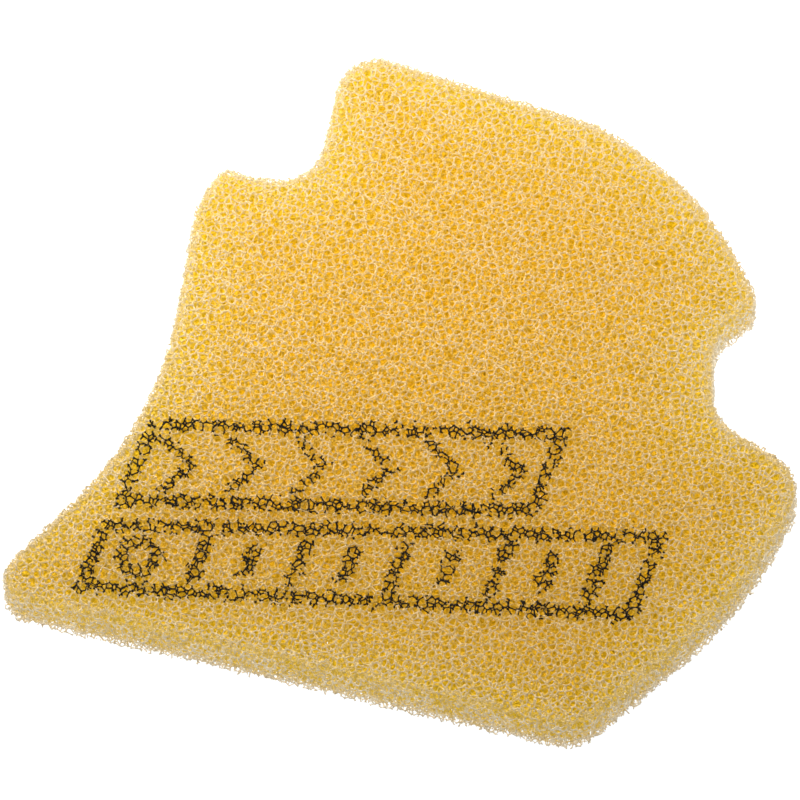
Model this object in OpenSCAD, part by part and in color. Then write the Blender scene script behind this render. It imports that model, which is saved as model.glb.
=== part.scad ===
// Flat air filter element for a small off-road motorcycle.
// It is one pad cut from a sheet of coarse open-cell foam, with ink marks printed on its upper face.
// Origin: centre of the pad's flat underside. +X runs along the straight base edge, +Z out of the printed face.

/* [Foam pad] */
// Thickness of the foam sheet
pad_t = 14; // [8:1:20]
// Base edge, from the sharp left tip to the sharp corner under the lower right edge
base_l = 155; // [150:1:160]
// Height of the sharp top corner above the base edge
pad_h = 175; // [172:1:180]
// Distance of the sharp right corner from the left tip, along the base edge
right_x = 191; // [189:1:195]
// Height of the sharp right corner
right_y = 86; // [80:1:88]
// Slope of the long top edge, falling to the right, in degrees
top_fall = 5; // [3:0.5:7]

/* [Left edge] */
// Slope of the lower left edge, in degrees
tip_slope = 62.4; // [60:0.1:64]
// Height at which the lower left edge would meet the upper one if the edge were not hollow
waist_y = 58; // [54:1:60]
// Radius of the hollow left edge
waist_r = 105; // [60:5:110]
// Radius of the left tip
tip_r = 8; // [5:0.5:9]

/* [Step at the top left] */
// Height of the step's floor
step_y = 133; // [130:0.5:135]
// Distance of the step's floor end from the left tip
step_x = 27; // [26:0.5:28]
// Distance of the step's wall from the left tip
wall_x = 50.5; // [48:0.5:52]
// Lean of the step's wall: how much further left its upper end is
wall_lean = 2.5; // [0:0.5:4]
// Radius of the step's outer corner
step_r = 3.5; // [3:0.5:5]
// Radius of the step's inside corner
step_in_r = 11; // [6:0.5:12]
// Radius of the top corner
top_r = 11; // [6:0.5:13]

/* [Right notch] */
// Distance of the notch's floor from the left tip
notch_x = 158.5; // [156:0.5:160]
// Height of the notch floor's upper end
notch_top_y = 117.5; // [115:0.5:119]
// Height of the notch floor's lower end
notch_low_y = 95; // [93:0.5:97]
// Lean of the notch floor: how much further right its lower end is
notch_lean = 6; // [4:0.5:8]
// Radius in both ends of the notch floor
notch_r = 13.5; // [8:0.5:15]
// Radius of the shoulder above the notch
shoulder_r = 6; // [4:0.5:8]
// Radius of the right corner under the notch
right_r = 12; // [8:0.5:14]

/* [Convex edges] */
// Radius of the convex upper right edge
crown_r = 84; // [50:2:84]
// Radius of the convex lower right edge
flank_r = 110; // [60:5:120]
// Radius of the corner at the right end of the base edge
base_r = 14; // [8:0.5:16]

/* [Printed marks] */
// Thickness of the ink
ink_t = 0.4; // [0.2:0.1:0.8]
// Turn of the printed rows against the base edge, in degrees
row_turn = 13.5; // [12:0.5:14]
// Slant of the rows' ends, in degrees
slant = 18; // [10:1:20]
// Height of the upper row
row_h = 25.3; // [22:0.1:26]
// Height of the lower row at its left end
lower_h = 20.9; // [19:0.1:22]
// How much further down the lower row reaches at its right end
lower_drop = 4.5; // [0:0.5:5]
// Gap between the rows
row_gap = 3.5; // [2:0.5:4]
// Length of the upper row
upper_l = 105; // [90:1:110]
// Length of the lower row
lower_l = 141; // [120:1:142]
// Width of the lines
line_w = 3.4; // [2:0.1:4]
// Chevrons in the upper row
chevrons = 6; // [3:1:7]
// Slanted bars in the lower row
bars = 9; // [4:1:10]

/* [Hidden] */
arc_step = 5;      // degrees between points of a rounded corner
waist_in_x = 30.2; // where the two left edges would meet, from the left tip
hip_x = 23.5;      // bend of the left edge under the step's outer corner
hip_y = 121;
hip_r = 15;
shoulder_x = 167.5; // sharp corner above the notch
shoulder_y = 130;
crown_x = 144;      // where the ends of the convex upper right edge would meet
crown_y = 160;
crest_x = 114.5;    // end of the straight top edge
crest_r = 10;
flank_x = 186.5;    // where the ends of the convex lower right edge would meet
flank_y = 51.5;
row_x = 23.5; // lower left corner of the lower row, from the left tip
row_y = 5.4;
shear = tan(slant);
row_pitch = lower_h + row_gap;
upper_shift = 1.5; // set-in of the upper row along the rows
pad_color = [0.93, 0.74, 0.36];
ink_color = [0.09, 0.08, 0.07];

// Sharp corners of the outline and the radius of each, anticlockwise from the left tip.
corners = [
  [0, 0, tip_r],
  [base_l, 0, base_r],
  [flank_x, flank_y, flank_r],
  [right_x, right_y, right_r],
  [notch_x + notch_lean, notch_low_y, notch_r],
  [notch_x, notch_top_y, notch_r],
  [shoulder_x, shoulder_y, shoulder_r],
  [crown_x, crown_y, crown_r],
  [crest_x, pad_h - (crest_x - wall_x) * tan(top_fall), crest_r],
  [wall_x - wall_lean, pad_h, top_r],
  [wall_x, step_y, step_in_r],
  [step_x, step_y, step_r],
  [hip_x, hip_y, hip_r],
  [waist_y / tan(tip_slope), waist_y, waist_r]
];

// Point of corner i, counted round the loop.
function corner(i) =
  let (c = corners[(i + len(corners)) % len(corners)])
  [c[0], c[1]];

// Points of the arc that rounds corner i.
function rounded(i) =
  let (
    p = corner(i),
    r = corners[i][2],
    back = corner(i - 1) - p,
    ahead = corner(i + 1) - p,
    a = back / norm(back),
    b = ahead / norm(ahead),
    half = acos(a * b) / 2,
    centre = p + (a + b) / norm(a + b) * r / sin(half),
    start = p + a * r / tan(half) - centre,
    turn = 180 - 2 * half,
    side = (a[0] * b[1] - a[1] * b[0]) < 0 ? 1 : -1,
    steps = ceil(turn / arc_step)
  )
  [for (k = [0:steps])
    let (w = side * turn * k / steps)
    centre + [start[0] * cos(w) - start[1] * sin(w), start[0] * sin(w) + start[1] * cos(w)]];

outline = [for (i = [0:len(corners) - 1]) each rounded(i)];
xs = [for (p = outline) p[0]];
ys = [for (p = outline) p[1]];
middle = [(min(xs) + max(xs)) / 2, (min(ys) + max(ys)) / 2];

// Moves children from the left tip's frame to the middle of the pad.
module centred() {
  translate([-middle[0], -middle[1], 0])
    children();
}

// Places 2-D children as ink on the upper face, with x along the rows and y across them.
module ink(shift, up) {
  color(ink_color)
    centred()
      translate([row_x, row_y, pad_t])
        rotate(row_turn)
          translate([shift + up * shear, up, 0])
            linear_extrude(ink_t)
              children();
}

// Slanted bar from height y0 to y1, of width w along the row.
module slanted(x, w, y0, y1) {
  polygon([
    [x + y0 * shear, y0],
    [x + w + y0 * shear, y0],
    [x + w + y1 * shear, y1],
    [x + y1 * shear, y1]
  ]);
}

// One chevron, pointing along the row, w wide and h high, centred on y = 0.
module chevron(w, h) {
  polygon([
    [0, -h / 2],
    [line_w, -h / 2],
    [w, 0],
    [line_w, h / 2],
    [0, h / 2],
    [w - line_w, 0]
  ]);
}

// Pad of open-cell foam.
module foam_pad() {
  color(pad_color)
    centred()
      linear_extrude(pad_t)
        polygon(outline);
}

// Frame of the upper row.
module upper_row_frame() {
  ink(upper_shift, row_pitch)
    difference() {
      slanted(0, upper_l, 0, row_h);
      slanted(line_w, upper_l - 2 * line_w, line_w, row_h - line_w);
    }
}

// Row of chevrons that shows the air's direction.
module upper_row_chevrons() {
  pitch = (upper_l - 2 * line_w) / chevrons;
  w = pitch * 0.66;
  h = row_h - 2.8 * line_w;
  ink(upper_shift, row_pitch)
    for (i = [0:chevrons - 1])
      translate([line_w + (i + 0.5) * pitch - w / 2 + row_h / 2 * shear, row_h / 2])
        chevron(w, h);
}

// Height of the lower row's base, which falls to the right.
function base_y(x) = -lower_drop * x / lower_l;

// Slanted piece of the lower row, set in from its top and its base.
module lower_band(x0, x1, inset) {
  low0 = base_y(x0) + inset;
  low1 = base_y(x1) + inset;
  high = lower_h - inset;
  polygon([
    [x0 + low0 * shear, low0],
    [x1 + low1 * shear, low1],
    [x1 + high * shear, high],
    [x0 + high * shear, high]
  ]);
}

// Frame of the lower row.
module lower_row_frame() {
  ink(0, 0)
    difference() {
      lower_band(0, lower_l, 0);
      lower_band(line_w, lower_l - line_w, line_w);
    }
}

// Hexagon ring, a sign for a foam cell.
module lower_row_hexagon() {
  r = lower_h / 2 - 1.15 * line_w;
  x = lower_h * 0.62;
  y = (lower_h + base_y(x)) / 2;
  ink(0, 0)
    translate([x + y * shear, y])
      difference() {
        circle(r, $fn = 6);
        circle(r - line_w, $fn = 6);
      }
}

// Row of slanted bars, long and short in turn.
module lower_row_bars() {
  first = lower_h * 1.25;
  pitch = (lower_l - line_w - first) / bars;
  ink(0, 0)
    for (i = [0:bars - 1])
      lower_band(
        first + i * pitch,
        first + i * pitch + 1.1 * line_w,
        (i % 2 == 0 ? 1.2 : 2) * line_w
      );
}

foam_pad();
upper_row_frame();
upper_row_chevrons();
lower_row_frame();
lower_row_hexagon();
lower_row_bars();
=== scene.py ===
import itertools
import math

import bpy
import numpy as np
from mathutils import Euler, Matrix, Vector


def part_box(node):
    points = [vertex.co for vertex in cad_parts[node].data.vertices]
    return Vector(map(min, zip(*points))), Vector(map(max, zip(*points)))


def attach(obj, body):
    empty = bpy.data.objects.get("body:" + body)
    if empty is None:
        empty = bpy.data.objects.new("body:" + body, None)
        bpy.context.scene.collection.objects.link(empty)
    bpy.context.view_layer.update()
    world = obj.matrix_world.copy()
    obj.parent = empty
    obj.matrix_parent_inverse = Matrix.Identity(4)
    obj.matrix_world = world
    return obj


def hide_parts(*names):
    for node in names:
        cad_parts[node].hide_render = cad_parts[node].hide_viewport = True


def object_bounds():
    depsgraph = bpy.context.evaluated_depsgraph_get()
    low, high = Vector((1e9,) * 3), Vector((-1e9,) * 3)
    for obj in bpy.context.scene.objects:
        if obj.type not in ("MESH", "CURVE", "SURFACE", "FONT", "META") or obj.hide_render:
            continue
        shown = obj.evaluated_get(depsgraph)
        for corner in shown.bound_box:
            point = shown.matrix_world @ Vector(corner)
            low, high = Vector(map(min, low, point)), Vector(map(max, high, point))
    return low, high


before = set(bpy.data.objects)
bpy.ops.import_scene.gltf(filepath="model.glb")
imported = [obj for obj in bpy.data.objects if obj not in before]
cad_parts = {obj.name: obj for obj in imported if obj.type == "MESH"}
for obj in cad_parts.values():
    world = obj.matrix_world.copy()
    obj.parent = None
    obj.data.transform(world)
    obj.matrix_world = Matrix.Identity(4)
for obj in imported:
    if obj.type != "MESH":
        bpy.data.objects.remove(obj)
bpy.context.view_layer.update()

# Lengths are in millimetres up to the point where a mesh is made.
MM = 0.001  # metres in a millimetre

# Cells
CELL = 2.66  # step of the body-centred lattice that the cells grow from
CELL_JITTER = 0.14  # random shift of a cell's seed, as a share of its lattice's step
CELL_TURN = (0.5, 0.35, 0.8)  # turn of the lattice away from the pad's own directions, in radians
CELL_DEPTHS = (-0.05, -0.04)  # depths below the pad's surface between which the nodes begin
CELL_SEED = 7
SEED_REACH = 1.6  # how far outside the pad seeds are needed, in lattice steps
CORNER_REACH = 0.8  # furthest that a node can lie from its four seeds, in lattice steps
BATCH = 3000  # seeds handled at once
RELAX = 0.3  # how far a node moves towards the middle of its neighbours

# Small cells just behind the rim, where the die pressed the foam together
RIM_CELL = 1.6
RIM_STRUT = 0.14
RIM_DEPTHS = (0.2, 1.3)
RIM_BAND = 3.0  # distance from the outline up to which they reach
BAND_FADE = 0.7  # share of that distance from which they thin out
RIM_SEED = 23

# Struts
STRUT = 0.22  # distance from a strut's middle line to its ridges, at its ends
STRUT_SPREAD = 0.12  # random share by which one node's struts are thicker than another's
WAIST = 0.74  # thickness half way along a strut, as a share of its ends
FINE_DEPTH = 1.5  # struts of the large cells get a waist where they are this close to the surface
FULLNESS = 1.25  # how much thicker, as a share, the struts deep inside are
FULL_DEPTHS = (2.4, 4.8)  # depths between which the struts thicken
RIM_SHARE = 0.55  # share of those depths that is enough at the rim
RIM_WIDTHS = (1.5, 6.0)  # distances from the outline between which that fades
STUB = (0.15, 0.6)  # lengths between which the stub of a cut strut breaks off, if it gets that long
STUB_TAPER = 0.85  # thickness of a stub's end, as a share of its start
FLAT_STUB = 0.06  # a stub shorter than this is closed with a lid at its start
RIDGE_ROOM = 0.42  # share of a strut's length that a node's ridge may take up
SHARP_RIDGE = 0.35  # least sine of a ridge's half angle, so that a sharp ridge doesn't run far out
STEEP_RIDGE = 0.05  # least cosine of that angle

# Pad
UPPER_ROUND = 3.4  # radius of the pad's upper edge
LOWER_ROUND = 0.7
WAVE = 0.08  # height of the slow waves in the cut faces
TILES = (8, 4)  # columns and rows of pieces that the foam's mesh is split into
RIM_TILES = (4, 2)

# Ink
INK_DEPTH = 1.9  # how deep the ink reaches below the printed face
INK_DEPTH_SPREAD = 0.2  # random share of that
INK_RUN = (0.25, 0.7)  # least and largest share of a strut's length that ink runs along
INK_WANDER = 0.4  # random sideways shift of the ink's borders
INK_COAT = 0.03  # thickness of ink on a strut
INK_WEB = 1.06  # how much thicker the inked nodes are
INK_SEED = 11

# Colour, with painted light: pale sheen at the faces, golden glow of light scattered deep inside, and light
# shining through the thin rim
GLOW_DEPTHS = (0.2, 4.5)  # depths below the faces between which the painted light goes from pale sheen to golden glow
FACE_SHEEN_TONE = 0.16  # tone at the faces, where 0 is the palest painted sheen and 1 the deepest painted golden glow
WALL_TONE = 2.4  # how much faster the painted golden glow sets in behind the rim than below the faces
RIM_LIGHT_PALING = 0.85  # share of the tone that the painted light shining through the thin rim takes away at the outline
RIM_LIGHT_FADE = 1.2  # distance from the outline over which that painted rim paleness fades
RIM_GLOW_FADE = 14.0  # distance from the outline over which the painted lemon glow through the rim fades
MAP_BORDER = 0.02  # empty border of the colour map, as a share of its width

foam_low, foam_high = [np.array(c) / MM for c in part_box("foam_pad")]


def rim_edges(node, level):
    """Edges, as an (n, 2, 2) array, round a CAD node's flat face at height level."""
    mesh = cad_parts[node].data
    mesh.calc_loop_triangles()
    co = np.array([v.co for v in mesh.vertices]) / MM
    tris = co[np.array([t.vertices for t in mesh.loop_triangles])]
    flat = tris[(np.abs(tris[:, :, 2] - level) < 0.01).all(1)][:, :, :2]
    pairs = flat[:, [[0, 1], [1, 2], [2, 0]]].reshape(-1, 2, 2)
    keys = [tuple(sorted(tuple(p) for p in edge.tolist())) for edge in pairs.round(3)]
    count = {}
    for key in keys:
        count[key] = count.get(key, 0) + 1
    return pairs[[count[key] == 1 for key in keys]]


def inside_edges(xy, edges):
    """True for each point that lies inside the closed loops that the edges form."""
    (ax, ay), (bx, by) = edges[:, 0].T, edges[:, 1].T
    x, y = xy[:, :1], xy[:, 1:]
    spans = (ay > y) != (by > y)
    rise = np.where(by == ay, 1.0, by - ay)
    left = x < ax + (y - ay) / rise * (bx - ax)
    return (spans & left).sum(1) % 2 == 1


def distance_to_edges(xy, edges):
    """Distance from each point to the nearest edge."""
    start = edges[:, 0]
    along = edges[:, 1] - start
    length2 = (along**2).sum(1)
    best = np.full(len(xy), np.inf)
    for a, d, l2 in zip(start, along, length2):
        rel = xy - a
        t = np.clip(rel @ d / l2, 0, 1)
        away = rel - t[:, None] * d
        best = np.minimum(best, (away**2).sum(1))
    return np.sqrt(best)


class OutlineMap:
    """Distance to the pad's outline on a square grid, positive inside."""

    STEP = 0.6
    MARGIN = 8.0

    def __init__(self):
        edges = rim_edges("foam_pad", foam_low[2])
        self.low = foam_low[:2] - self.MARGIN
        count = np.ceil((foam_high[:2] + self.MARGIN - self.low) / self.STEP).astype(int) + 1
        x, y = np.meshgrid(*[np.arange(n) * self.STEP for n in count], indexing="ij")
        xy = np.stack([x.ravel(), y.ravel()], 1) + self.low
        side = np.where(inside_edges(xy, edges), 1, -1)
        self.grid = (distance_to_edges(xy, edges) * side).reshape(x.shape)

    def at(self, p):
        g = (p[:, :2] - self.low) / self.STEP
        g = np.clip(g, 0, np.array(self.grid.shape) - 1.001)
        i = g.astype(int)
        fx, fy = (g - i).T
        a, b = i.T
        low_x = self.grid[a, b] * (1 - fy) + self.grid[a, b + 1] * fy
        high_x = self.grid[a + 1, b] * (1 - fy) + self.grid[a + 1, b + 1] * fy
        return low_x * (1 - fx) + high_x * fx


outline = OutlineMap()


def smooth_step(x, low, high):
    """0 up to low, 1 from high on, and smooth between them."""
    t = np.clip((x - low) / (high - low), 0, 1)
    return t * t * (3 - 2 * t)


def slow_waves(p):
    """Soft uneven heights in [-1, 1] that the cut surface follows."""
    x, y, z = p.T
    return (
        np.sin(x * 0.31 + 1.3 * np.sin(y * 0.13)) * np.cos(y * 0.27 + 0.9)
        + np.sin(x * 0.71 - y * 0.53 + z * 0.6) * 0.5
    ) / 1.5


def pad_depth(p):
    """Depth of each point below the nearest surface of the pad with its rounded edges, negative outside."""
    wall = outline.at(p)
    up, down = foam_high[2] - p[:, 2], p[:, 2] - foam_low[2]
    face = np.minimum(up, down)
    radius = np.where(up < down, UPPER_ROUND, LOWER_ROUND)
    a, b = np.maximum(radius - wall, 0), np.maximum(radius - face, 0)
    in_corner = (a > 0) & (b > 0)
    depth = np.where(in_corner, radius - np.hypot(a, b), np.minimum(wall, face))
    return depth + WAVE * (slow_waves(p) - 1)


def lattice_steps(shells):
    """Steps, in half cells, to the neighbours in a body-centred lattice, out to that many shells."""
    steps = [
        n for n in itertools.product(range(-4, 5), repeat=3)
        if any(n) and len({c % 2 for c in n}) == 1
    ]
    reach = sorted({sum(c * c for c in n) for n in steps})[shells - 1]
    near = [n for n in steps if sum(c * c for c in n) <= reach]
    return np.array(sorted(near, key=lambda n: sum(c * c for c in n)))


def scatter_seeds(rng, cell, band):
    """Seeds of cells within band of the outline.

    The answer is their places, their lattice numbers, and a table from lattice number to seed.
    """
    half = cell / 2
    reach = SEED_REACH * cell
    low, high = foam_low - reach, foam_high + reach
    turn = np.array(Euler(CELL_TURN).to_matrix())
    corners = np.array(list(itertools.product(*zip(low, high)))) @ turn / half
    first = np.floor(corners.min(0)).astype(int)
    last = np.ceil(corners.max(0)).astype(int)
    axes = [np.arange(a, b + 1) for a, b in zip(first, last)]
    number = np.stack(np.meshgrid(*axes, indexing="ij"), -1).reshape(-1, 3)
    number = number[(number % 2).sum(1) % 3 == 0]  # all even or all odd
    place = number @ turn.T * half
    kept = ((place > low) & (place < high)).all(1)
    number, place = number[kept], place[kept]
    kept = (pad_depth(place) > -reach) & (outline.at(place) < band + reach)
    number, place = number[kept], place[kept]
    place = place + rng.normal(0, CELL_JITTER * cell, place.shape)
    border = 4
    number = number - first + border
    table = np.full(tuple(last - first + 1 + 2 * border), -1, np.int32)
    table[tuple(number.T)] = np.arange(len(number))
    return place, number, table


def cross(a, b):
    return (
        a[1] * b[2] - a[2] * b[1],
        a[2] * b[0] - a[0] * b[2],
        a[0] * b[1] - a[1] * b[0],
    )


def dot(a, b):
    return a[0] * b[0] + a[1] * b[1] + a[2] * b[2]


def meeting_points(seeds, number, table, cell):
    """Points where four cells meet: the places, and the four cells of each in rising order.

    Each point is equally far from its four seeds, and no other seed is nearer.
    """
    near = lattice_steps(5)
    around = lattice_steps(4)
    allowed = {tuple(n) for n in around}
    ahead = np.array([n for n in around if tuple(n) > (0, 0, 0)])
    triples = np.array([
        t for t in itertools.combinations(range(len(ahead)), 3)
        if all(tuple(ahead[b] - ahead[a]) in allowed for a, b in itertools.combinations(t, 2))
    ])
    furthest = (CORNER_REACH * cell) ** 2
    x, y, z = seeds.T.copy()
    places, cells = [], []
    for begin in range(0, len(seeds), BATCH):
        own = np.arange(begin, min(begin + BATCH, len(seeds)))
        step = number[own][:, None] + ahead[None]
        other = table[tuple(np.moveaxis(step, 2, 0))]
        d = [c[other] - c[own, None] for c in (x, y, z)]
        d[0][other < 0] = np.nan
        half = dot(d, d) / 2
        a, b, c = [[axis[:, t] for axis in d] for t in triples.T]
        ha, hb, hc = [half[:, t] for t in triples.T]
        bc, ca, ab = cross(b, c), cross(c, a), cross(a, b)
        volume = dot(a, bc)
        centre = [(ha * bc[k] + hb * ca[k] + hc * ab[k]) / volume for k in range(3)]
        with np.errstate(invalid="ignore"):
            row, which = np.nonzero(dot(centre, centre) < furthest)
        centre = [c[row, which] for c in centre]
        members = other[row[:, None], triples[which]]
        step = number[own][:, None] + near[None]
        rival = table[tuple(np.moveaxis(step, 2, 0))]
        r = [c[rival] - c[own, None] for c in (x, y, z)]
        limit = dot(r, r) / 2 * (1 + 1e-9)
        limit[rival < 0] = np.inf
        alive = np.arange(len(row))
        for q in range(len(near)):
            at = row[alive]
            closer = dot([c[at, q] for c in r], [c[alive] for c in centre]) > limit[at, q]
            hit = np.nonzero(closer)[0]
            own_member = (members[alive[hit]] == rival[at[hit], q][:, None]).any(1)
            closer[hit[own_member]] = False
            alive = alive[~closer]
        cells.append(np.c_[own[row[alive]], members[alive]])
        places.append(seeds[own[row[alive]]] + np.stack([c[alive] for c in centre], 1))
    return np.concatenate(places), np.sort(np.concatenate(cells), axis=1)


def partners(cells, seeds):
    """Where each strut leads. Slot s of a node is the strut along the three cells other than cell s.

    The answer is 4 * node + slot of the strut's other end, or -1 for a strut with none.
    """
    keys = np.empty(cells.shape, np.int64)
    for s in range(4):
        a, b, c = np.delete(cells, s, axis=1).astype(np.int64).T
        keys[:, s] = (a * seeds + b) * seeds + c
    flat = keys.ravel()
    order = np.argsort(flat, kind="stable")
    ranked = flat[order]
    start = np.nonzero(np.r_[True, ranked[1:] != ranked[:-1]])[0]
    twice = start[np.diff(np.r_[start, len(ranked)]) == 2]
    one, two = order[twice], order[twice + 1]
    far = np.full(len(flat), -1, np.int64)
    far[one] = two
    far[two] = one
    return far.reshape(-1, 4)


PAIRS = list(itertools.combinations(range(4), 2))  # the faces at a node, by their two cells


def ring_of(slot):
    """The three ridges round a strut, as indices into PAIRS, in order round it."""
    a, b, c = [s for s in range(4) if s != slot]
    return [PAIRS.index(p) for p in ((a, b), (b, c), (a, c))]


def fan_of(cell):
    """The three ridges round a cell's corner, as indices into PAIRS."""
    return [k for k, p in enumerate(PAIRS) if cell in p]


def ridge_directions(u):
    """Unit directions and half angles of the six ridges at nodes whose four struts point along u."""
    ridges, halves = [], []
    for p in PAIRS:
        r, s = [k for k in range(4) if k not in p]
        both = u[:, r] + u[:, s]
        cosine = np.clip((u[:, r] * u[:, s]).sum(1), -1, 1)
        ridges.append(both / np.maximum(np.linalg.norm(both, axis=1), 1e-9)[:, None])
        halves.append(np.arccos(cosine) / 2)
    return np.stack(ridges, 1), np.stack(halves, 1)


def handedness(u):
    """+1 or -1 for nodes, by which way round their four strut directions lie."""
    a, b, c = [u[:, k] - u[:, 0] for k in (1, 2, 3)]
    return np.sign((a * np.cross(b, c)).sum(1))


def turning(points, normal):
    """+1 where the three points run anticlockwise about normal, else -1."""
    a, b, c = points
    return 1 if np.dot(np.cross(b - a, c - a), normal) > 0 else -1


def orientation_tables():
    """For a right-handed node: which way round each strut's ring and each cell's fan run."""
    u = np.array([[1, 1, 1], [1, -1, -1], [-1, 1, -1], [-1, -1, 1]]) / math.sqrt(3)
    ridges = ridge_directions(u[None])[0][0]
    hand = handedness(u[None])[0]
    rings = [hand * turning(ridges[ring_of(s)], u[s]) for s in range(4)]
    fans = [hand * turning(ridges[fan_of(s)], -u[s]) for s in range(4)]
    return np.array(rings), np.array(fans)


RING_SIGN, FAN_SIGN = orientation_tables()
RINGS = np.array([ring_of(s) for s in range(4)])
FANS = np.array([fan_of(s) for s in range(4)])


class Network:
    """Nodes and struts of foam.

    Its live nodes begin between two depths below the pad's surface, and end within band of the outline.
    """

    def __init__(self, seed, cell, strut, depths, band=math.inf):
        rng = np.random.default_rng(seed)
        seeds, number, table = scatter_seeds(rng, cell, band)
        place, cells = meeting_points(seeds, number, table, cell)
        far = partners(cells, len(seeds))
        whole = (far >= 0).all(1)
        middle = place[np.maximum(far, 0) // 4].mean(1)
        place = np.where(whole[:, None], place + RELAX * (middle - place), place)
        self.place = place
        self.far = far
        self.depth = pad_depth(place)
        wall = outline.at(place)
        deep = self.depth > rng.uniform(*depths, len(place))
        self.live = deep & (wall < band * rng.uniform(BAND_FADE, 1, len(place)))
        ends = place[np.maximum(far, 0) // 4] - place[:, None]
        missing = far < 0
        ends[missing] = 0
        ends[missing] = -np.repeat(ends.sum(1)[:, None], 4, 1)[missing]
        self.length = np.maximum(np.linalg.norm(ends, axis=2), 1e-6)
        self.toward = ends / self.length[:, :, None]
        self.thick = strut * (1 + STRUT_SPREAD * rng.standard_normal(len(place)).clip(-2, 2))
        share = RIM_SHARE + (1 - RIM_SHARE) * smooth_step(wall, *RIM_WIDTHS)
        self.thick *= 1 + FULLNESS * smooth_step(self.depth / share, *FULL_DEPTHS)
        self.stub = rng.uniform(*STUB, far.shape)

    def cut_reach(self):
        """How far from its node the pad's surface cuts each strut, or its stub breaks off, in mm."""
        there = self.depth[np.maximum(self.far, 0) // 4]
        here = self.depth[:, None]
        share = np.clip(here / np.maximum(here - there, 1e-6), 0, 1)
        return np.where(self.far < 0, 0, np.minimum(share * self.length, self.stub))


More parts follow.
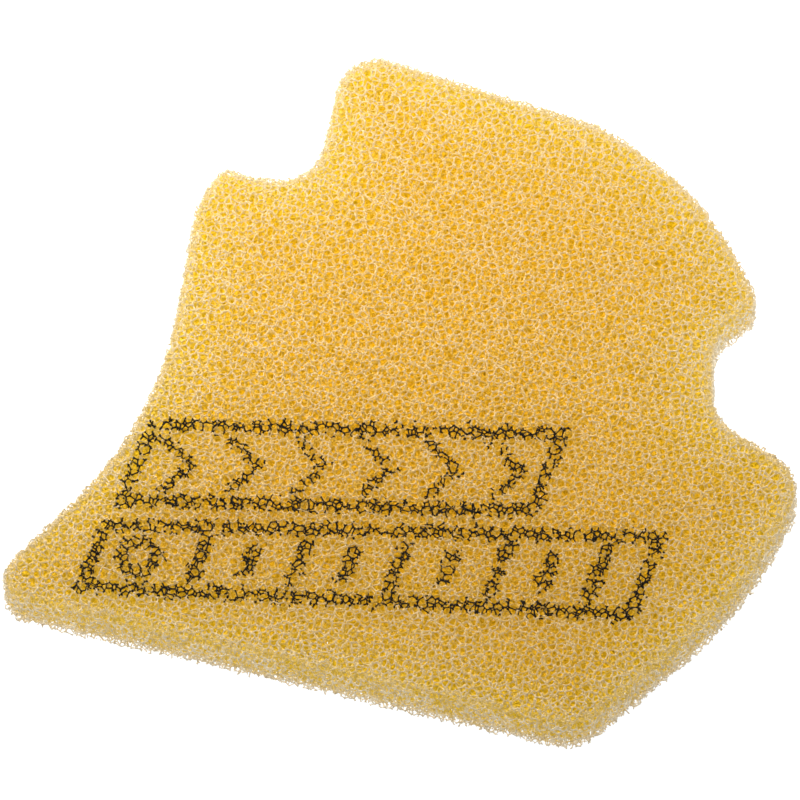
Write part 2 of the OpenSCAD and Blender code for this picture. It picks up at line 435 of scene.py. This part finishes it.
class Skin:
    """Collects the points and faces of struts and nodes round a set of live nodes."""

    def __init__(self, net, live, thick, reach, waisted, group):
        self.net = net
        self.live = live
        self.reach = reach
        self.waisted = waisted
        self.group = group
        self.nodes = np.nonzero(live)[0]
        self.rank = np.full(len(live), -1)
        self.rank[self.nodes] = np.arange(len(self.nodes))
        self.hand = handedness(net.toward[self.nodes])
        self.points = [self.node_points(thick)]
        self.count = len(self.nodes) * 6
        self.faces = {3: [], 4: []}
        self.owners = {3: [], 4: []}
        self.add_fans()
        for slot in range(4):
            self.add_struts(slot)

    def node_points(self, thick):
        net, n = self.net, self.nodes
        ridges, halves = ridge_directions(net.toward[n])
        span = np.stack([
            net.length[n][:, [k for k in range(4) if k not in p]].min(1) for p in PAIRS
        ], 1)
        wanted = thick[n][:, None] / np.sin(halves).clip(SHARP_RIDGE, 1)
        room = RIDGE_ROOM * span / np.cos(halves).clip(STEEP_RIDGE, 1)
        away = np.minimum(wanted, room)
        return (net.place[n][:, None] + ridges * away[:, :, None]).reshape(-1, 3)

    def add(self, faces, nodes, sign):
        """Faces as rows of point numbers, turned over where sign is negative."""
        faces = np.where(sign[:, None] > 0, faces, faces[:, ::-1])
        self.faces[faces.shape[1]].append(faces)
        self.owners[faces.shape[1]].append(self.group[nodes])

    def add_points(self, rings):
        """Adds (n, 3, 3) rings of points, and returns their (n, 3) numbers."""
        first = self.count
        self.points.append(rings.reshape(-1, 3))
        self.count += len(rings) * 3
        return first + np.arange(len(rings) * 3).reshape(-1, 3)

    def add_fans(self):
        for cell in range(4):
            faces = np.arange(len(self.nodes))[:, None] * 6 + FANS[cell]
            self.add(faces, self.nodes, self.hand * FAN_SIGN[cell])

    def ring_numbers(self, nodes, slots):
        return self.rank[nodes][:, None] * 6 + RINGS[slots]

    def ring_sign(self, nodes, slots):
        return self.hand[self.rank[nodes]] * RING_SIGN[slots]

    def sleeve(self, nodes, near, far, sign):
        """Three faces between two rings, near and far, seen from near's node."""
        for k in range(3):
            m = (k + 1) % 3
            self.add(np.stack([near[:, k], near[:, m], far[:, m], far[:, k]], 1), nodes, sign)

    def add_struts(self, slot):
        net = self.net
        n = self.nodes
        far = net.far[n, slot]
        other = np.maximum(far, 0) // 4
        joined = (far >= 0) & self.live[other]
        same = self.group[n] == self.group[other]
        first = n < other
        waist = self.waisted[n] | self.waisted[other]
        self.plain_struts(n[joined & same & first & ~waist], slot)
        self.waisted_struts(n[joined & same & first & waist], slot, shared=True)
        self.waisted_struts(n[joined & ~same], slot, shared=False)
        self.open_struts(n[~joined], slot)

    def plain_struts(self, n, slot):
        far = self.net.far[n, slot]
        slots = np.full(len(n), slot)
        near_ring = self.ring_numbers(n, slots)
        far_ring = self.ring_numbers(far // 4, far % 4)
        self.sleeve(n, near_ring, far_ring, self.ring_sign(n, slots))

    def waisted_struts(self, n, slot, shared):
        """Struts with a ring half way.

        One that isn't shared ends there with a lid, because its other half is in another group.
        """
        far = self.net.far[n, slot]
        slots = np.full(len(n), slot)
        near_ring = self.ring_numbers(n, slots)
        far_ring = self.ring_numbers(far // 4, far % 4)
        points = self.points[0]
        ring = (points[near_ring] + points[far_ring]) / 2
        centre = ring.mean(1, keepdims=True)
        middle = self.add_points(centre + (ring - centre) * WAIST)
        sign = self.ring_sign(n, slots)
        self.sleeve(n, near_ring, middle, sign)
        if shared:
            self.sleeve(far // 4, far_ring, middle, self.ring_sign(far // 4, far % 4))
        else:
            self.add(middle, n, sign)

    def open_struts(self, n, slot):
        """Struts that end at the surface, with a lid."""
        slots = np.full(len(n), slot)
        near_ring = self.ring_numbers(n, slots)
        sign = self.ring_sign(n, slots)
        points = self.points[0]
        ring = points[near_ring]
        toward = self.net.toward[n, slot][:, None]
        centre = ring.mean(1, keepdims=True)
        start = ((centre[:, 0] - self.net.place[n]) * toward[:, 0]).sum(1)
        more = self.reach[n, slot] - start
        stub = more < FLAT_STUB
        self.add(near_ring[stub], n[stub], sign[stub])
        long = ~stub
        flat = ring - ((ring - centre) * toward).sum(2, keepdims=True) * toward
        end = centre + (flat - centre) * STUB_TAPER + more[:, None, None] * toward
        tip = self.add_points(end[long])
        self.sleeve(n[long], near_ring[long], tip, sign[long])
        self.add(tip, n[long], sign[long])

    def groups(self):
        """(group, points, {3: triangles, 4: quads}) for each group."""
        points = np.concatenate(self.points)
        faces = {k: np.concatenate(v) for k, v in self.faces.items()}
        owners = {k: np.concatenate(v) for k, v in self.owners.items()}
        for g in np.unique(self.group[self.nodes]):
            mine = {k: faces[k][owners[k] == g] for k in (3, 4)}
            used = np.unique(np.concatenate([f.ravel() for f in mine.values()]))
            new = np.zeros(len(points), np.int64)
            new[used] = np.arange(len(used))
            yield g, points[used], {k: new[f] for k, f in mine.items()}


def make_mesh(name, points, faces):
    """Blender mesh object from points in mm and a dict of triangles and quads."""
    mesh = bpy.data.meshes.new(name)
    mesh.vertices.add(len(points))
    mesh.vertices.foreach_set("co", (points * MM).astype(np.float32).ravel())
    corners = np.concatenate([faces[4].ravel(), faces[3].ravel()]).astype(np.int32)
    sizes = np.r_[np.full(len(faces[4]), 4), np.full(len(faces[3]), 3)]
    mesh.loops.add(len(corners))
    mesh.loops.foreach_set("vertex_index", corners)
    mesh.polygons.add(len(sizes))
    mesh.polygons.foreach_set("loop_start", (np.cumsum(sizes) - sizes).astype(np.int32))
    mesh.polygons.foreach_set("use_smooth", np.ones(len(sizes), bool))
    mesh.update(calc_edges=True)
    piece = bpy.data.objects.new(name, mesh)
    bpy.context.scene.collection.objects.link(piece)
    return piece, corners


def tones_of(points):
    """Painted light tones. The glow tone goes from pale sheen at 0 to the golden glow of light scattered
    deep inside at 1, and the rim glow from 0 far inside to 1 at the outline, where light shines through the
    thin rim.
    """
    face = np.minimum(points[:, 2] - foam_low[2], foam_high[2] - points[:, 2])
    wall = outline.at(points).clip(0)
    # Painted golden glow of scattered light, deeper below the faces and sooner behind the rim
    deep = FACE_SHEEN_TONE + (1 - FACE_SHEEN_TONE) * smooth_step(np.minimum(face, WALL_TONE * wall), *GLOW_DEPTHS)
    # Painted light through the thin rim: pale at the outline, lemon further in
    return deep * (1 - RIM_LIGHT_PALING * np.exp(-wall / RIM_LIGHT_FADE)), np.exp(-wall / RIM_GLOW_FADE)


def lay_tones(piece, points, corners):
    """Stores the painted light tones on the points, and lays the piece's colour map out along them."""
    tones = tones_of(points)
    for name, tone in zip(("painted_glow_tone", "painted_rim_glow"), tones):
        layer = piece.data.attributes.new(name, "FLOAT", "POINT")
        layer.data.foreach_set("value", tone.astype(np.float32))
    uv = (MAP_BORDER + (1 - 2 * MAP_BORDER) * np.stack(tones, 1))[corners]
    piece.data.uv_layers.new(name="OFBake").data.foreach_set("uv", uv.astype(np.float32).ravel())


def split_evenly(values, parts):
    """Group number of each value, with as many values in each group."""
    order = np.argsort(np.argsort(values, kind="stable"), kind="stable")
    return order * parts // len(values)


def tiles_of(net, columns, rows):
    """Group number of each live node: columns with as many nodes each, then rows in each column."""
    group = np.full(len(net.place), -1)
    nodes = np.nonzero(net.live)[0]
    column = split_evenly(net.place[nodes, 0], columns)
    for c in range(columns):
        mine = nodes[column == c]
        group[mine] = c * rows + split_evenly(net.place[mine, 1], rows)
    return group


def node_tree(name):
    material = bpy.data.materials.new(name)
    material.use_nodes = True
    tree = material.node_tree
    return material, tree, tree.nodes["Principled BSDF"]


def noise_node(tree, scale, detail):
    coordinates = tree.nodes.new("ShaderNodeTexCoord")
    noise = tree.nodes.new("ShaderNodeTexNoise")
    noise.inputs["Scale"].default_value = scale
    noise.inputs["Detail"].default_value = detail
    tree.links.new(coordinates.outputs["Object"], noise.inputs["Vector"])
    return noise.outputs["Fac"]


def ramp_node(tree, source, stops):
    ramp = tree.nodes.new("ShaderNodeValToRGB")
    elements = ramp.color_ramp.elements
    while len(elements) < len(stops):
        elements.new(0.5)
    for element, (position, colour) in zip(elements, stops):
        element.position = position
        element.color = (*colour, 1)
    tree.links.new(source, ramp.inputs["Fac"])
    return ramp.outputs["Color"]


def tone_node(tree, name):
    attribute = tree.nodes.new("ShaderNodeAttribute")
    attribute.attribute_name = name
    return attribute.outputs["Fac"]


def mix_node(tree, kind, factor, a, b):
    """Mix of two colours. The factor is a number or another node's output."""
    mix = tree.nodes.new("ShaderNodeMix")
    mix.data_type = "RGBA"
    mix.blend_type = kind
    if isinstance(factor, float):
        mix.inputs["Factor"].default_value = factor
    else:
        tree.links.new(factor, mix.inputs["Factor"])
    tree.links.new(a, mix.inputs["A"])
    tree.links.new(b, mix.inputs["B"])
    return mix.outputs["Result"]


def range_node(tree, source, low, high):
    """Noise, which lies mostly between 0.3 and 0.7, spread from low to high."""
    mapping = tree.nodes.new("ShaderNodeMapRange")
    mapping.inputs["From Min"].default_value = 0.3
    mapping.inputs["From Max"].default_value = 0.7
    mapping.inputs["To Min"].default_value = low
    mapping.inputs["To Max"].default_value = high
    tree.links.new(source, mapping.inputs["Value"])
    return mapping.outputs["Result"]


def foam_material():
    """Yellow polyurethane foam with painted light: the struts' own pale cream whitened by painted sheen at
    the surface, a painted golden glow of light scattered inside, and a painted lemon glow along the rim
    where light shines through.
    """
    material, tree, shader = node_tree("foam")
    painted_glow_tone = tone_node(tree, "painted_glow_tone")
    # Painted light: pale cream with painted sheen on the outer struts, turning to the golden glow of light
    # scattered deep in the foam
    heart = ramp_node(tree, painted_glow_tone, [
        (0.0, (0.88, 0.76, 0.55)),
        (0.2, (0.83, 0.54, 0.205)),
        (0.5, (0.84, 0.485, 0.075)),
        (0.75, (0.83, 0.425, 0.015)),
        (1.0, (0.81, 0.375, 0.002)),
    ])
    # Painted light shining through the thin rim: paler and more lemon than the heart
    rim = ramp_node(tree, painted_glow_tone, [
        (0.0, (0.90, 0.79, 0.60)),
        (0.2, (0.88, 0.67, 0.36)),
        (0.5, (0.90, 0.615, 0.14)),
        (0.75, (0.92, 0.585, 0.035)),
        (1.0, (0.92, 0.56, 0.005)),
    ])
    colour = mix_node(tree, "MIX", tone_node(tree, "painted_rim_glow"), heart, rim)
    patches = noise_node(tree, 900, 2)
    spots = ramp_node(tree, patches, [(0.3, (0.97, 0.96, 0.92)), (0.7, (1.0, 1.0, 1.0))])
    tree.links.new(mix_node(tree, "MULTIPLY", 1.0, colour, spots), shader.inputs["Base Color"])
    shader.inputs["Roughness"].default_value = 0.4
    shader.inputs["Specular IOR Level"].default_value = 0.05
    return material


def ink_material():
    """Matt black ink with greyer, drier patches."""
    material, tree, shader = node_tree("ink")
    patches = noise_node(tree, 1400, 3)
    colour = ramp_node(tree, patches, [(0.35, (0.006, 0.005, 0.004)), (0.75, (0.02, 0.016, 0.012))])
    tree.links.new(colour, shader.inputs["Base Color"])
    gloss = range_node(tree, noise_node(tree, 2200, 1), 0.45, 0.75)
    tree.links.new(gloss, shader.inputs["Roughness"])
    shader.inputs["Specular IOR Level"].default_value = 0.15
    return material


def build_foam(net, name, material, waisted, tiles):
    """The foam's pieces. The waisted nodes are the ones whose struts get a ring half way."""
    skin = Skin(net, net.live, net.thick, net.cut_reach(), waisted, tiles_of(net, *tiles))
    for number, points, faces in skin.groups():
        column, row = divmod(number, tiles[1])
        piece, corners = make_mesh("%s_%d_%d" % (name, column + 1, row + 1), points, faces)
        lay_tones(piece, points, corners)
        piece.data.materials.append(material)
        piece.visible_diffuse = False
        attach(piece, "root")
        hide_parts("foam_pad")


def build_ink(net):
    """Ink sleeves on the outermost struts inside each printed mark."""
    material = ink_material()
    rng = np.random.default_rng(INK_SEED)
    below = foam_high[2] - net.place[:, 2]
    shift = rng.normal(0, INK_WANDER, (len(below), 2)).clip(-2 * INK_WANDER, 2 * INK_WANDER)
    level = INK_DEPTH * (1 + INK_DEPTH_SPREAD * rng.standard_normal(len(below)))
    drawn = rng.uniform(*INK_RUN, net.far.shape)
    near = np.nonzero(net.live & (below < level))[0]
    joined = (net.far >= 0) & net.live[np.maximum(net.far, 0) // 4]
    reach = np.where(joined, drawn * net.length, net.cut_reach() + INK_COAT)
    thick = net.thick * INK_WEB + INK_COAT
    waisted = np.ones(len(below), bool)
    group = np.zeros(len(below), int)
    for name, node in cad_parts.items():
        if name == "foam_pad":
            continue
        edges = rim_edges(name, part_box(name)[1][2] / MM)
        inked = np.zeros(len(below), bool)
        inked[near] = inside_edges((net.place[:, :2] + shift)[near], edges)
        skin = Skin(net, inked, thick, reach, waisted, group)
        for _, points, faces in skin.groups():
            piece, _ = make_mesh(name + "_ink", points, faces)
            piece.data.materials.append(material)
            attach(piece, "root")
            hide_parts(name)


def build_floor():
    """Plain pale light table just under the pad."""
    half = 3.0  # half of its width, in metres
    gap = 0.0002
    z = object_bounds()[0][2] - gap
    corners = [(-half, -half, z), (half, -half, z), (half, half, z), (-half, half, z)]
    mesh = bpy.data.meshes.new("floor")
    mesh.from_pydata(corners, [], [(0, 1, 2, 3)])
    floor = bpy.data.objects.new("floor", mesh)
    bpy.context.scene.collection.objects.link(floor)
    material, _, shader = node_tree("floor")
    shader.inputs["Base Color"].default_value = (0.9, 0.9, 0.9, 1)
    shader.inputs["Roughness"].default_value = 0.9
    shader.inputs["Emission Color"].default_value = (1, 1, 1, 1)
    shader.inputs["Emission Strength"].default_value = 0.4
    mesh.materials.append(material)


def soft_light(name, place, size, power, shadow=False):
    """Square area light aimed at the pad. Its place and size are in metres, and its power in watts."""
    data = bpy.data.lights.new(name, "AREA")
    data.size = size
    data.energy = power
    data.use_shadow = shadow
    light = bpy.data.objects.new(name, data)
    light.location = place
    light.rotation_mode = "QUATERNION"
    light.rotation_quaternion = (-Vector(place)).to_track_quat("-Z", "Y")
    bpy.context.scene.collection.objects.link(light)


def build_lights():
    """White surroundings, lamps without shadows close round the pad, and a high key light.

    Real foam lets light through. The lamps without shadows stand in for that, as they reach into the pores.
    """
    world = bpy.data.worlds.new("studio")
    world.use_nodes = True
    background = world.node_tree.nodes["Background"]
    background.inputs["Color"].default_value = (1, 1, 1, 1)
    background.inputs["Strength"].default_value = 0.36
    bpy.context.scene.world = world
    soft_light("glow_above", (-0.04, 0.09, 0.20), 0.15, 0.25)
    soft_light("glow_left", (-0.22, 0.05, 0.14), 0.2, 0.43)
    soft_light("glow_front", (-0.22, -0.10, -0.12), 0.2, 0.14)
    soft_light("glow_right", (0.22, 0.17, 0.12), 0.2, 0.24)
    soft_light("glow_behind", (-0.03, 0.30, 0.12), 0.2, 0.11)
    soft_light("glow_below", (0.0, 0.08, -0.26), 0.3, 0.22)
    soft_light("key", (-0.3, 0.6, 1.0), 0.5, 0.7, shadow=True)


def build_camera():
    """Long lens, turned 15 degrees from the base edge and 60.5 degrees above the pad."""
    azimuth, elevation = math.radians(15), math.radians(60.5)
    width = 0.1992  # view's width at the pad
    right_shift, up_shift = -0.01142, 0.00193  # where the view's middle lies from the pad's origin
    data = bpy.data.cameras.new("camera")
    data.lens = 1200
    data.clip_end = 50
    camera = bpy.data.objects.new("camera", data)
    bpy.context.scene.collection.objects.link(camera)
    right = Vector((math.cos(azimuth), math.sin(azimuth), 0))
    back = Vector((
        math.sin(azimuth) * math.cos(elevation),
        -math.cos(azimuth) * math.cos(elevation),
        math.sin(elevation),
    ))
    up = back.cross(right)
    distance = width / data.sensor_width * data.lens
    camera.matrix_world = Matrix.Translation(
        right * right_shift + up * up_shift + back * distance
    ) @ Matrix((right, up, back)).transposed().to_4x4()
    bpy.context.scene.camera = camera


def set_up_view():
    """Plain colours, light paths long enough for the pores, and a slightly soft picture."""
    scene = bpy.context.scene
    scene.view_settings.view_transform = "Standard"
    scene.cycles.max_bounces = 12
    scene.cycles.diffuse_bounces = 8
    scene.cycles.filter_width = 1.65


foam = foam_material()
network = Network(CELL_SEED, CELL, STRUT, CELL_DEPTHS)
build_foam(network, "foam_tile", foam, network.depth < FINE_DEPTH, TILES)
small = Network(RIM_SEED, RIM_CELL, RIM_STRUT, RIM_DEPTHS, RIM_BAND)
build_foam(small, "foam_rim", foam, np.zeros(len(small.place), bool), RIM_TILES)
build_ink(network)
build_floor()
build_lights()
build_camera()
set_up_view()
